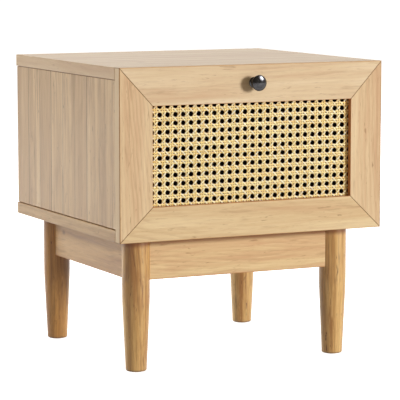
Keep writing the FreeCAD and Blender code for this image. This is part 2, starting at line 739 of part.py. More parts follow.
def inner_member():
    """The drawer member: a web on the drawer side and races under the inner balls."""
    web = SLIDE_WIDTH - SLIDE_GAUGE / 2
    top, _, far = race(INNER_BALL_U, INNER_BALL_W, -1)
    bottom, _, low_far = race(INNER_BALL_U, -INNER_BALL_W, 1)
    path = [far, (web, far[1]), (web, low_far[1]), low_far]
    return rolled([top] + section_lines(path) + [bottom], SLIDE_GAUGE, SLIDE_Y0, SLIDE_LENGTH)


def ball_rows(u, w):
    """Ball centres of one cage: an upper and a lower row."""
    step = CAGE_LENGTH / BALLS_PER_ROW
    return [
        (SIDE_IN - u, CAGE_Y0 + (i + 0.5) * step, SLIDE_Z + side * w)
        for i in range(BALLS_PER_ROW) for side in SIGNS
    ]


def cage(web, edge, ball_u, ball_w):
    """A thin channel with a pocket for each ball."""
    path = [(edge, ball_w), (web, ball_w), (web, -ball_w), (edge, -ball_w)]
    channel = rolled(section_lines(path), CAGE_GAUGE, CAGE_Y0, CAGE_LENGTH)
    pockets = [rod((x, y, z - 1), (0, 0, 1), BALL_RADIUS + CLEAR, 2)
               for x, y, z in ball_rows(ball_u, ball_w)]
    return cut(channel, pockets)


def save_both(right_name, shape):
    """Save a right-hand node and its mirror image on the left."""
    save(right_name, shape)
    left = [mirrored(s) for s in shape] if isinstance(shape, list) else mirrored(shape)
    save(right_name.replace("right", "left"), left)


def build_slides():
    """Both slides. Returns the right-hand screw holes for the side panel and for the drawer side."""
    stops = [SLIDE_Y0 + step for step in SLIDE_SCREW_STEPS]
    cabinet_places = [((SIDE_IN - SLIDE_GAUGE, y, SLIDE_Z), (1, 0, 0)) for y in stops]
    drawer_places = [((DRAWER_OUT + SLIDE_GAUGE, y, SLIDE_Z), (-1, 0, 0)) for y in stops]
    cabinet_screws, cabinet_holes = screws(cabinet_places, 13, 1.75, 3.2)
    drawer_screws, drawer_holes = screws(drawer_places, 11, 1.75, 3.2)
    save_both("right_slide_outer", cut(outer_member(), cabinet_holes))
    save_both("right_slide_middle", middle_member())
    save_both("right_slide_inner", cut(inner_member(), drawer_holes))
    save_both("right_outer_cage", cage(2.0, 9.6, OUTER_BALL_U, OUTER_BALL_W))
    save_both("right_inner_cage", cage(4.7, 10.7, INNER_BALL_U, INNER_BALL_W))
    for name, u, w in (("right_outer_balls", OUTER_BALL_U, OUTER_BALL_W),
                       ("right_inner_balls", INNER_BALL_U, INNER_BALL_W)):
        save_both(name, [Part.makeSphere(BALL_RADIUS, Vector(*centre)) for centre in ball_rows(u, w)])
    save("slide_cabinet_screws", cabinet_screws + [mirrored(s) for s in cabinet_screws])
    save("slide_drawer_screws", drawer_screws + [mirrored(s) for s in drawer_screws])
    return cabinet_holes, drawer_holes


# ---------------------------------------------------------------- the whole nightstand

def main():
    os.makedirs("parts", exist_ok=True)
    side_holes, drawer_side_holes = build_slides()
    base_holes = build_base()
    build_carcase(side_holes, base_holes)
    front_holes = build_front()
    build_drawer_box(front_holes, drawer_side_holes)
    save("front_bumpers", bumpers())


main()
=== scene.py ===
import math
import random

import bmesh
import bpy
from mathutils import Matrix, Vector


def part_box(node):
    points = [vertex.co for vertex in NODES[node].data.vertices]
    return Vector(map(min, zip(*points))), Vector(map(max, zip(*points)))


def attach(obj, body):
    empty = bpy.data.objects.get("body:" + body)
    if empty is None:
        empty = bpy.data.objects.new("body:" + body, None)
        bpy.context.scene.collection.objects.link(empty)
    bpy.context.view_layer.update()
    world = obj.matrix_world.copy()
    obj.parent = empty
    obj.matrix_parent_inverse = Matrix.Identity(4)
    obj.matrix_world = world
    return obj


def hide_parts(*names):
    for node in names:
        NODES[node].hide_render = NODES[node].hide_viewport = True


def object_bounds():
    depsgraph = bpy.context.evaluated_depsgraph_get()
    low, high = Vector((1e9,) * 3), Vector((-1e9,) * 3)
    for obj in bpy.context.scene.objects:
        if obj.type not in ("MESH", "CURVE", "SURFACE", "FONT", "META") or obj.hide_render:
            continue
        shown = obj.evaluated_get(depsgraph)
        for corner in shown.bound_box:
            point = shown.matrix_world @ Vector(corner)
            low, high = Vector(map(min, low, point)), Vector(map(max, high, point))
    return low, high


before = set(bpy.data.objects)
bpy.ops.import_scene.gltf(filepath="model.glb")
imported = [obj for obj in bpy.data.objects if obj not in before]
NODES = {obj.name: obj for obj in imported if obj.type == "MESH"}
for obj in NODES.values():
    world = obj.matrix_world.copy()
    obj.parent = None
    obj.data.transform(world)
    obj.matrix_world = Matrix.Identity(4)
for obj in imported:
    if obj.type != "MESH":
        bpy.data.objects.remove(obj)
cad_low, cad_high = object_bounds()

X, Y, Z = 0, 1, 2
MM = 0.001
LEGS = ("front_left_leg", "front_right_leg", "rear_left_leg", "rear_right_leg")


def srgb(red, green, blue):
    """A linear colour from 0 to 255 display values."""
    channels = []
    for value in (red, green, blue):
        c = value / 255
        channels.append(c / 12.92 if c <= 0.04045 else ((c + 0.055) / 1.055) ** 2.4)
    return (*channels, 1.0)


def add_object(name, data):
    """A new object at the origin, linked to the scene."""
    item = bpy.data.objects.new(name, data)
    bpy.context.scene.collection.objects.link(item)
    return item


# ---------------------------------------------------------------- node graphs

class Graph:
    """Short ways to add nodes to one material."""

    def __init__(self, name):
        self.material = bpy.data.materials.new(name)
        self.material.use_nodes = True
        self.nodes = self.material.node_tree.nodes
        self.links = self.material.node_tree.links
        self.shader = self.nodes["Principled BSDF"]
        self.place = self.nodes.new("ShaderNodeTexCoord")

    def add(self, kind, inputs, **settings):
        node = self.nodes.new(kind)
        for key, value in settings.items():
            setattr(node, key, value)
        for key, value in inputs.items():
            self.feed(node.inputs[key], value)
        return node

    def feed(self, socket, value):
        if isinstance(value, bpy.types.NodeSocket):
            self.links.new(value, socket)
        else:
            socket.default_value = value

    def math(self, operation, a, b=0.0):
        return self.add("ShaderNodeMath", {0: a, 1: b}, operation=operation).outputs[0]

    def vector(self, operation, a, b):
        return self.add("ShaderNodeVectorMath", {0: a, 1: b}, operation=operation).outputs[0]

    def split(self, vector):
        return self.add("ShaderNodeSeparateXYZ", {0: vector}).outputs

    def noise(self, vector, scale, detail=2.0, rough=0.5, bend=0.0):
        inputs = {"Vector": vector, "Scale": scale, "Detail": detail, "Roughness": rough}
        return self.add("ShaderNodeTexNoise", {**inputs, "Distortion": bend})

    def ramp(self, factor, stops):
        node = self.add("ShaderNodeValToRGB", {"Fac": factor})
        bar = node.color_ramp.elements
        bar[0].position, bar[0].color = stops[0]
        bar[1].position, bar[1].color = stops[-1]
        for position, colour in stops[1:-1]:
            bar.new(position).color = colour
        return node.outputs["Color"]

    def fade(self, factor, low, high):
        """0 below low, 1 above high, smooth between. low above high turns it round."""
        inputs = {"Value": factor, "From Min": low, "From Max": high}
        return self.add("ShaderNodeMapRange", inputs, interpolation_type="SMOOTHSTEP").outputs[0]

    def scaled(self, factor, low, high):
        """A 0 to 1 factor carried to the range from low to high."""
        return self.add("ShaderNodeMapRange", {"Value": factor, "To Min": low, "To Max": high}).outputs[0]

    def mix(self, factor, a, b):
        """Colour a turned into colour b by a factor from 0 to 1."""
        node = self.nodes.new("ShaderNodeMix")
        node.data_type = "RGBA"
        for index, value in ((0, factor), (6, a), (7, b)):
            self.feed(node.inputs[index], value)
        return node.outputs[2]

    def tint(self, mask, tone, tint):
        """The tone, covered by a tint's colour where the mask is 1."""
        colour, strength = tint
        return self.mix(self.math("MULTIPLY", mask, strength), tone, colour)

    def finish(self, colour, roughness, height=None, depth=0.0002, metallic=0.0):
        self.feed(self.shader.inputs["Base Color"], colour)
        self.feed(self.shader.inputs["Roughness"], roughness)
        self.shader.inputs["Metallic"].default_value = metallic
        if height is not None:
            bump = self.add("ShaderNodeBump", {"Height": height, "Strength": 1.0, "Distance": depth})
            self.links.new(bump.outputs[0], self.shader.inputs["Normal"])
        return self.material


# ---------------------------------------------------------------- wood

BOARD_TONES = {
    "light": srgb(238, 216, 174),
    "mid": srgb(225, 199, 156),
    "streak": srgb(210, 173, 134),
    "dark": srgb(132, 82, 50),
}
# Painted light: a lighter copy of the board tones, for the front apron.
LIT_FRONT_APRON_TONES = {
    "light": srgb(243, 220, 174),
    "mid": srgb(229, 202, 155),
    "streak": srgb(213, 173, 132),
    "dark": srgb(140, 88, 52),
}
EDGE_TONES = {
    "light": srgb(214, 183, 135),
    "mid": srgb(193, 159, 115),
    "streak": srgb(162, 127, 95),
    "dark": srgb(106, 76, 56),
}
SIDE_TONES = {
    "light": srgb(237, 213, 178),
    "mid": srgb(218, 190, 152),
    "streak": srgb(187, 156, 122),
    "dark": srgb(102, 73, 50),
}
LEG_TONES = {
    "light": srgb(240, 204, 138),
    "mid": srgb(217, 175, 109),
    "streak": srgb(172, 121, 66),
    "dark": srgb(92, 54, 26),
}
# Painted light and sheen: a paler copy of the board tones, for the top panel and the top rail, lit from
# above.
LIT_PALE_TONES = {
    "light": srgb(242, 223, 193),
    "mid": srgb(230, 208, 173),
    "streak": srgb(217, 185, 151),
    "dark": srgb(144, 98, 68),
}
STILE_TONES = {
    "light": srgb(241, 219, 181),
    "mid": srgb(228, 202, 163),
    "streak": srgb(213, 176, 140),
    "dark": srgb(132, 82, 50),
}
APRON_TONES = {
    "light": srgb(225, 190, 140),
    "mid": srgb(205, 168, 120),
    "streak": srgb(176, 137, 102),
    "dark": srgb(110, 78, 58),
}
SHADED_LEG_TONES = {
    "light": srgb(212, 160, 88),
    "mid": srgb(181, 130, 64),
    "streak": srgb(136, 88, 38),
    "dark": srgb(74, 40, 16),
}
BOX_TONES = {
    "light": srgb(228, 208, 176),
    "mid": srgb(220, 197, 160),
    "streak": srgb(204, 176, 140),
    "dark": srgb(176, 144, 110),
}
# Each tint: its colour, and how strongly it covers the tone under it.
# UNDER_SHADE is painted shade under the carcase, on the tops of the aprons and legs.
UNDER_SHADE = (srgb(134, 72, 26), 0.75)
# Painted shade on the rounded edge of each foot.
FOOT_EDGE_SHADE = (srgb(70, 42, 22), 0.6)
APRON_ARRIS = (srgb(176, 112, 52), 0.6)
# Painted shade in the grooves above and below the side panels.
GROOVE_SHADE = (srgb(142, 74, 26), 0.9)
# Painted shade on a panel's end faces.
PAINTED_END_SHADE = (srgb(196, 168, 142), 0.4)
END_ARRIS = (srgb(206, 148, 82), 0.5)
OUTSIDE_FACE = (srgb(240, 221, 193), 0.75)
SIDE_ARRIS = (srgb(150, 98, 44), 0.8)
MITRE_SHADE = (srgb(122, 74, 30), 0.78)
REVEAL_BROWN = (srgb(188, 112, 46), 0.85)
FRONT_ROUGHNESS = 0.58
LEG_ROUGHNESS = 0.34
RING_SPACING = 5.0 * MM
HEART_DEPTH = 0.035
HEART_SLOPE = 0.05
HEART_HEIGHT = 0.30
STRIP_WIDTH = 47 * MM
REBATE_LAP = 7.75 * MM
ARRIS_WIDTH = 1.5 * MM
MITRE_LINE = 1.1 * MM
JOINT_LINE = 3.2 * MM
GROOVE = 1.2 * MM
REVEAL_LINE = 0.8 * MM
FOOT_EDGE_TOP = 5.0 * MM
FOOT_EDGE_FULL = 1.5 * MM
SHADE_START = 16 * MM
SHADE_FULL = 8 * MM
SIDEWAYS = 0.7

# Each noise of the wood figure: scale along the grain, scale across it, detail, roughness, distortion.
FIGURE_NOISES = {
    "bands": (2.4, 60.0, 4.0, 0.65, 0.0),
    "streaks": (9.0, 300.0, 3.0, 0.75, 0.0),
    "patches": (5.0, 26.0, 4.0, 0.65, 0.0),
    "nicks": (42.0, 330.0, 2.0, 0.6, 0.8),
    "stains": (11.0, 130.0, 3.0, 0.65, 0.5),
}
# Each mark: its noise, the value where it starts, the value where it is full, its strength, its tone.
FIGURE_MARKS = (
    ("patches", 0.50, 0.70, 0.80, "streak"),
    ("streaks", 0.48, 0.68, 0.38, "streak"),
    ("streaks", 0.46, 0.30, 0.50, "light"),
    ("stains", 0.58, 0.72, 0.36, "dark"),
    ("nicks", 0.64, 0.74, 0.62, "dark"),
)
RING_STRENGTH = 0.22
KNOT_STRENGTH = 0.7
STRIP_STRENGTH = 0.55
FIBRE_STRENGTH = 0.26
PORE_STRENGTH = 0.16


def grain_vector(graph, place, grain, along, across):
    """The place, scaled by along on the grain's axis and by across on the other two."""
    scale = [across, across, across]
    scale[grain] = along
    return graph.vector("MULTIPLY", place, tuple(scale))


def knot_mask(graph, place, grain):
    """Sparse small knots: 1 in the middle of each, 0 a few millimetres away."""
    cells = grain_vector(graph, place, grain, 11.0, 19.0)
    voronoi = graph.add("ShaderNodeTexVoronoi", {"Vector": cells, "Scale": 1.0}, feature="F1")
    chosen = graph.math("GREATER_THAN", graph.split(voronoi.outputs["Color"])[X], 0.66)
    spot = graph.fade(voronoi.outputs["Distance"], 0.11, 0.02)
    return graph.math("MULTIPLY", spot, chosen)


def ring_lines(graph, bent, heart, grain):
    """Growth rings cut at a slant, so that flat faces show pointed arches. 1 on the dark late wood."""
    away = graph.vector("SUBTRACT", bent, heart)
    slope = [HEART_SLOPE, HEART_SLOPE, HEART_SLOPE]
    slope[grain] = 0.0
    run = graph.split(away)[grain]
    lean = graph.add("ShaderNodeVectorMath", {0: tuple(slope), 3: run}, operation="SCALE").outputs[0]
    flat = grain_vector(graph, graph.vector("ADD", away, lean), grain, 0.0, 1.0)
    radius = graph.add("ShaderNodeVectorMath", {0: flat}, operation="LENGTH").outputs["Value"]
    turn = graph.math("FRACT", graph.math("DIVIDE", radius, RING_SPACING))
    return graph.math("MULTIPLY", graph.fade(turn, 0.35, 0.88), graph.fade(turn, 1.0, 0.90))


def in_strips(graph, place, across):
    """Glued strips: shifts the figure of each strip, and gives each strip a number from 0 to 1, and the
    lines between strips."""
    count = graph.math("DIVIDE", graph.split(place)[across], STRIP_WIDTH)
    white = graph.add("ShaderNodeTexWhiteNoise", {"W": graph.math("FLOOR", count)}, noise_dimensions="1D")
    shift = graph.vector("MULTIPLY", white.outputs["Color"], (3.0, 3.0, 3.0))
    joint = graph.fade(graph.math("FRACT", count), JOINT_LINE / STRIP_WIDTH, 0.5 * JOINT_LINE / STRIP_WIDTH)
    return graph.vector("ADD", place, shift), white.outputs["Value"], joint


def bent_place(graph, place, grain):
    """The place, swayed a little across the grain."""
    sway = graph.noise(grain_vector(graph, place, grain, 3.4, 11.0), 1.0, 3.0, 0.6).outputs["Color"]
    reach = [0.020, 0.020, 0.020]
    reach[grain] = 0.0
    bend = graph.vector("MULTIPLY", graph.vector("SUBTRACT", sway, (0.5, 0.5, 0.5)), tuple(reach))
    return graph.vector("ADD", place, bend)


def wood_figure(graph, place, heart, grain, tones, contrast):
    """Colour and height of one plank whose grain runs along an axis."""
    bent = bent_place(graph, place, grain)
    noises = {}
    for mark, (along, across, detail, rough, distortion) in FIGURE_NOISES.items():
        scaled_place = grain_vector(graph, bent, grain, along, across)
        noises[mark] = graph.noise(scaled_place, 1.0, detail, rough, distortion).outputs["Fac"]
    fibre = graph.noise(grain_vector(graph, place, grain, 22.0, 900.0), 1.0, 2.0, 0.7).outputs["Fac"]
    pores = graph.noise(grain_vector(graph, place, grain, 60.0, 1500.0), 1.0, 1.0).outputs["Fac"]

    stops = [(0.34, tones["light"]), (0.50, tones["mid"]), (0.68, tones["streak"])]
    tone = graph.ramp(noises["bands"], stops)
    for mark, start, full, strength, tint in FIGURE_MARKS:
        tone = graph.tint(graph.fade(noises[mark], start, full), tone, (tones[tint], strength * contrast))
    patch = graph.math("MULTIPLY", graph.fade(noises["patches"], 0.38, 0.62), RING_STRENGTH * contrast)
    rings = graph.math("MULTIPLY", ring_lines(graph, bent, heart, grain), patch)
    tone = graph.mix(rings, tone, tones["dark"])
    tone = graph.tint(knot_mask(graph, bent, grain), tone, (tones["dark"], KNOT_STRENGTH))
    tone = graph.mix(graph.scaled(fibre, 0.0, FIBRE_STRENGTH), tone, tones["streak"])
    dash = graph.math("MULTIPLY", graph.fade(pores, 0.62, 0.72), PORE_STRENGTH)
    tone = graph.mix(dash, tone, tones["dark"])
    height = graph.math("SUBTRACT", graph.math("MULTIPLY", fibre, 0.6), dash)
    return tone, height


def looks_along_x(graph):
    """1 on the faces that look along X, 0 on the others."""
    facing = graph.math("ABSOLUTE", graph.split(graph.place.outputs["Normal"])[X])
    return graph.math("GREATER_THAN", facing, SIDEWAYS)


def wood(name, grain, seed, tones=BOARD_TONES, contrast=0.8, roughness=0.42, edge=None, strips=None,
         lines=None):
    """Satin wood. edge is the grain's axis on the faces that look along X, strips is the axis across
    which narrow strips are joined, and lines tints the tone at joints and arrises, and paints shade where it
    falls."""
    graph = Graph(name)
    place = graph.vector("ADD", graph.place.outputs["Object"], seed)
    if strips is not None:
        place, strip, joint = in_strips(graph, place, strips)
    heart = (seed[0] + HEART_DEPTH, seed[1] - HEART_DEPTH, seed[2] + HEART_HEIGHT)
    tone, height = wood_figure(graph, place, heart, grain, tones, contrast)
    if strips is not None:
        tone = graph.tint(graph.fade(strip, 0.35, 1.0), tone, (tones["streak"], STRIP_STRENGTH))
        glue = graph.math("MULTIPLY", joint, graph.scaled(strip, 0.15, 0.6))
        tone = graph.mix(glue, tone, tones["dark"])
    if edge is not None:
        edge_tone, edge_height = wood_figure(graph, place, heart, edge, tones, contrast)
        on_edge = looks_along_x(graph)
        tone = graph.mix(on_edge, tone, edge_tone)
        height = graph.math("ADD", graph.math("MULTIPLY", edge_height, on_edge),
                            graph.math("MULTIPLY", height, graph.math("SUBTRACT", 1.0, on_edge)))
    if lines is not None:
        tone = lines(graph, tone)
    sheen = graph.scaled(height, roughness - 0.04, roughness + 0.06)
    graph.shader.inputs["IOR"].default_value = 1.46
    return graph.finish(tone, sheen, height, 0.00012)


def shaded_ends(graph, tone):
    """Painted shade: greys a panel's faces that look along X, which do not catch the top's painted sheen."""
    return graph.tint(looks_along_x(graph), tone, PAINTED_END_SHADE)


def painted_groove_shade(graph, tone):
    """Paints shade into the shadow grooves above and below a side panel."""
    low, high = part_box("left_side_panel")
    z = graph.split(graph.place.outputs["Object"])[Z]
    line = graph.math("MAXIMUM", graph.fade(z, high.z - GROOVE, high.z - GROOVE + 0.1 * MM),
                      graph.fade(z, low.z + GROOVE, low.z + GROOVE - 0.1 * MM))
    return graph.tint(line, tone, GROOVE_SHADE)


def painted_foot_shade(graph, tone):
    """Painted shade on the rounded edge of a leg's foot."""
    z = graph.split(graph.place.outputs["Object"])[Z]
    return graph.tint(graph.fade(z, FOOT_EDGE_TOP, FOOT_EDGE_FULL), tone, FOOT_EDGE_SHADE)


def painted_under_shade(graph, tone):
    """Painted shade on the top of an apron or leg, where it tucks under the carcase."""
    z = graph.split(graph.place.outputs["Object"])[Z]
    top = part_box("front_apron")[1].z
    return graph.tint(graph.fade(z, top - SHADE_START, top - SHADE_FULL), tone, UNDER_SHADE)


def arris_lines(graph, tone):
    """A browner arris along an apron's lower edge."""
    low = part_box("front_apron")[0].z
    z = graph.split(graph.place.outputs["Object"])[Z]
    return graph.tint(graph.fade(z, low + ARRIS_WIDTH, low + 0.5 * ARRIS_WIDTH), tone, APRON_ARRIS)


# The browner arris along an apron's lower edge, and painted shade at its top.
def apron_arris_and_shade(graph, tone):
    return arris_lines(graph, painted_under_shade(graph, tone))


# Painted shade at the top of a leg and on its foot's edge.
def leg_foot_and_under_shade(graph, tone):
    return painted_foot_shade(graph, painted_under_shade(graph, tone))


def frame_arrises(graph, tone):
    """Tints the drawer front's outer arrises and its outside faces."""
    low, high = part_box("front_left_stile")
    x, y, z = graph.split(graph.place.outputs["Object"])
    half = -low.x
    near = graph.fade(y, low.y + ARRIS_WIDTH, low.y + 0.4 * ARRIS_WIDTH)
    side = graph.fade(graph.math("ABSOLUTE", x), half - ARRIS_WIDTH, half - 0.6 * ARRIS_WIDTH)
    ends = graph.math("MAXIMUM", graph.fade(z, high.z - ARRIS_WIDTH, high.z - 0.3 * ARRIS_WIDTH),
                      graph.fade(z, low.z + ARRIS_WIDTH, low.z + 0.3 * ARRIS_WIDTH))
    tone = graph.tint(graph.math("MULTIPLY", ends, near), tone, END_ARRIS)
    tone = graph.tint(graph.math("MULTIPLY", looks_along_x(graph), side), tone, OUTSIDE_FACE)
    return graph.tint(graph.math("MULTIPLY", side, near), tone, SIDE_ARRIS)


def mitre_lines(graph, tone, half, open_half, levels):
    """Darkens the mitres. levels are the outer and inner height of each mitre, and its side of inner."""
    place = graph.split(graph.place.outputs["Object"])
    across, z = graph.math("ABSOLUTE", place[X]), place[Z]
    for outer, inner, beyond in levels:
        run = Vector((open_half - half, inner - outer)).normalized()
        gap = graph.math("SUBTRACT", graph.math("MULTIPLY", graph.math("SUBTRACT", across, half), run.y),
                         graph.math("MULTIPLY", graph.math("SUBTRACT", z, outer), run.x))
        line = graph.fade(graph.math("ABSOLUTE", gap), 0.6 * MITRE_LINE, 0.3 * MITRE_LINE)
        line = graph.math("MULTIPLY", line, graph.math(beyond, z, inner))
        tone = graph.tint(line, tone, MITRE_SHADE)
    return tone


def reveal_lines(graph, tone, open_half, open_low, open_high):
    """Browns the faces round the opening for the cane."""
    place = graph.split(graph.place.outputs["Object"])
    across, z = graph.math("ABSOLUTE", place[X]), place[Z]
    full = 0.3 * REVEAL_LINE
    height = graph.math("MULTIPLY", graph.fade(z, open_low - REVEAL_LINE, open_low - full),
                        graph.fade(z, open_high + REVEAL_LINE, open_high + full))
    inside = graph.math("MULTIPLY", graph.fade(across, open_half + REVEAL_LINE, open_half + full), height)
    return graph.tint(inside, tone, REVEAL_BROWN)


def frame_lines(graph, tone):
    """Tints the drawer front's arrises, its mitre lines and the reveal round its opening."""
    low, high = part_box("front_left_stile")
    cane_low, cane_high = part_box("cane_panel")
    open_half = cane_high.x - REBATE_LAP
    open_low, open_high = cane_low.z + REBATE_LAP, cane_high.z - REBATE_LAP
    levels = ((high.z, open_high, "GREATER_THAN"), (low.z, open_low, "LESS_THAN"))
    tone = frame_arrises(graph, tone)
    tone = mitre_lines(graph, tone, -low.x, open_half, levels)
    return reveal_lines(graph, tone, open_half, open_low, open_high)


def paint(node, material):
    """Gives a CAD node one material in every slot."""
    slots = NODES[node].data.materials
    if len(slots) == 0:
        slots.append(material)
    for index in range(len(slots)):
        slots[index] = material


def dress_carcase():
    paint("top_panel", wood("top_laminate", X, (3.1, 0.4, 1.7), LIT_PALE_TONES, 0.7, edge=Y, lines=shaded_ends))
    paint("bottom_panel", wood("bottom_laminate", X, (5.3, 2.2, 0.9), EDGE_TONES, edge=Y))
    for side, seed in (("left", (1.13, 5.38, 2.9)), ("right", (7.7, 1.9, 3.3))):
        panel = wood(side + "_side_laminate", Z, seed, SIDE_TONES, 1.1, strips=Y, lines=painted_groove_shade)
        paint(side + "_side_panel", panel)
    paint("back_panel", wood("back_laminate", Z, (2.9, 6.1, 4.4), strips=X))


def dress_front():
    pieces = (
        ("top_rail", X, (0.31, 8.62, 0.64), LIT_PALE_TONES, 0.6),
        ("bottom_rail", X, (4.61, 3.8, 1.14), BOARD_TONES, 0.8),
        ("left_stile", Z, (6.51, 5.7, 2.27), STILE_TONES, 0.8),
        ("right_stile", Z, (8.83, 7.3, 5.21), STILE_TONES, 0.8),
    )
    for name, grain, seed, tones, contrast in pieces:
        laminate = wood(name + "_laminate", grain, seed, tones, contrast, FRONT_ROUGHNESS, lines=frame_lines)
        paint("front_" + name, laminate)


def dress_base():
    pieces = (
        ("front_apron", X, (2.17, 1.3, 6.12), LIT_FRONT_APRON_TONES, 0.8, apron_arris_and_shade),
        ("rear_apron", X, (9.4, 4.6, 3.9), BOARD_TONES, 0.8, apron_arris_and_shade),
        ("left_apron", Y, (5.9, 8.8, 7.02), APRON_TONES, 0.6, arris_lines),
        ("right_apron", Y, (3.6, 9.9, 8.8), APRON_TONES, 0.6, arris_lines),
    )
    for name, grain, seed, tones, contrast, lines in pieces:
        paint(name, wood(name + "_laminate", grain, seed, tones, contrast, lines=lines))
    for index, leg in enumerate(LEGS):
        seed = (1.7 * index + 0.37, 2.9 * index + 4.1, 0.83 * index)
        tones = SHADED_LEG_TONES if leg == "rear_left_leg" else LEG_TONES
        paint(leg, wood(leg + "_wood", Z, seed, tones, 1.25, LEG_ROUGHNESS, lines=leg_foot_and_under_shade))


def dress_hidden_wood():
    for index, side in enumerate(("drawer_left_side", "drawer_right_side")):
        paint(side, wood(side + "_board", Y, (3.3 * index, 7.1, 2.2), BOX_TONES, 0.5, 0.5))
    for index, end in enumerate(("drawer_inner_front", "drawer_back", "drawer_bottom")):
        paint(end, wood(end + "_board", X, (4.7, 1.1 * index, 9.2), BOX_TONES, 0.5, 0.5))
    paint("cane_retaining_beads", wood("bead_wood", X, (6.6, 2.8, 1.1), BOX_TONES, 0.5, 0.5))
    paint("corner_blocks", wood("block_wood", X, (1.2, 3.4, 5.6), BOX_TONES, 0.5, 0.6))
    for node in ("carcase_dowels", "apron_dowels", "mitre_dowels"):
        paint(node, wood(node + "_beech", Z, (8.1, 4.4, 2.1), BOX_TONES, 0.3, 0.6))


# ---------------------------------------------------------------- metal, plastic and the black backing

def metal(name, colour, worn, roughness, scale=900.0):
    """Plated or painted metal with fine scratches and a cloudy tone."""
    graph = Graph(name)
    place = graph.place.outputs["Object"]
    cloud = graph.noise(place, 60.0, 3.0, 0.6).outputs["Fac"]
    scratch = graph.noise(graph.vector("MULTIPLY", place, (1.0, 0.06, 1.0)), scale, 2.0, 0.7).outputs["Fac"]
    tone = graph.ramp(cloud, [(0.35, colour), (0.75, worn)])
    gloss = graph.scaled(scratch, roughness - 0.06, roughness + 0.1)
    return graph.finish(tone, gloss, scratch, 0.00002, metallic=1.0)


def knob_finish():
    """Satin black metal with a gunmetal cast, a little lighter in soft random clouds."""
    graph = Graph("knob_gunmetal")
    place = graph.place.outputs["Object"]
    cloud = graph.noise(place, 140.0, 3.0, 0.6).outputs["Fac"]
    grit = graph.noise(place, 5200.0, 2.0, 0.7).outputs["Fac"]
    tone = graph.ramp(cloud, [(0.35, srgb(55, 55, 57)), (0.70, srgb(79, 79, 82))])
    gloss = graph.scaled(grit, 0.20, 0.30)
    return graph.finish(tone, gloss, grit, 0.000006, metallic=0.9)


def plastic(name, colour, shade, roughness):
    """Moulded plastic with a fine texture."""
    graph = Graph(name)
    place = graph.place.outputs["Object"]
    cloud = graph.noise(place, 90.0, 3.0).outputs["Fac"]
    grit = graph.noise(place, 2600.0, 2.0, 0.6).outputs["Fac"]
    tone = graph.ramp(cloud, [(0.3, colour), (0.7, shade)])
    return graph.finish(tone, graph.scaled(grit, roughness - 0.05, roughness + 0.05), grit, 0.00002)


def dress_hardware():
    zinc = metal("zinc_plate", srgb(196, 197, 198), srgb(176, 177, 180), 0.3)
    cast = metal("cast_zinc", srgb(170, 170, 172), srgb(148, 149, 152), 0.42, 500.0)
    steel = metal("slide_steel", srgb(172, 174, 177), srgb(152, 154, 158), 0.36)
    ball = metal("ball_steel", srgb(215, 217, 220), srgb(205, 207, 210), 0.1)
    screws = ("base_screws", "drawer_box_screws", "drawer_front_screws", "slide_cabinet_screws",
              "slide_drawer_screws", "knob_screw", "hanger_bolts", "flange_nuts", "cam_bolts")
    for node in screws:
        paint(node, zinc)
    paint("cam_locks", cast)
    for side in ("left", "right"):
        for member in ("slide_outer", "slide_middle", "slide_inner", "outer_cage", "inner_cage"):
            paint(f"{side}_{member}", steel)
        paint(f"{side}_outer_balls", ball)
        paint(f"{side}_inner_balls", ball)
    paint("knob", knob_finish())
    paint("leg_glides", plastic("nylon_glide", srgb(205, 202, 194), srgb(192, 188, 178), 0.5))
    paint("front_bumpers", plastic("clear_bumper", srgb(225, 225, 222), srgb(210, 210, 206), 0.35))
    backing = plastic("black_board", srgb(4, 3, 3), srgb(8, 7, 6), 0.9)
    backing.node_tree.nodes["Principled BSDF"].inputs["Specular IOR Level"].default_value = 0.0
    paint("cane_backing", backing)


# ---------------------------------------------------------------- the woven cane

PITCH = 12.8 * MM
STRAND_WIDTH = 3.15 * MM
DIAGONAL_WIDTH = 2.4 * MM
STRAND_THICKNESS = 0.55 * MM
PAIR_OFFSET = 1.61 * MM
FIRST_HOLE_X = -164.2 * MM
FIRST_HOLE_DROP = 58.3 * MM
WEAVE_LIFT = 0.34 * MM
DIAGONAL_LIFT = 0.70 * MM
STEPS_PER_PITCH = 8
STRAND_PROFILE = ((-0.5, 0.0), (-0.30, 0.78), (0.0, 1.0), (0.30, 0.78), (0.5, 0.0), (0.0, -0.15))
STRAND_SHIFT = 0.12
DIAGONAL_SHIFT = 0.1
WEAVE_SEED = 7
GRID_CANE = (srgb(255, 246, 186), srgb(250, 226, 142), srgb(232, 188, 92))
# Painted highlight: near-white tones for the diagonals, lighter than the grid strands.
HIGHLIT_SLANT_CANE = (srgb(255, 255, 236), srgb(255, 250, 208), srgb(250, 226, 150))
# The noises of a strand's tone, fibre and stains: scales along, across and by seed, detail, roughness.
CANE_NOISES = (
    ((9.0, 330.0, 1.0), 2.0, 0.7),
    ((120.0, 4200.0, 1.0), 2.0, 0.6),
    ((160.0, 260.0, 1.0), 3.0, 0.6),
)
CANE_STAIN = (srgb(202, 142, 78), 0.45)
# Painted shade deep in the weave.
CANE_DEEP_SHADE = (srgb(146, 76, 16), 0.95)
CANE_FIBRE = srgb(196, 142, 70)


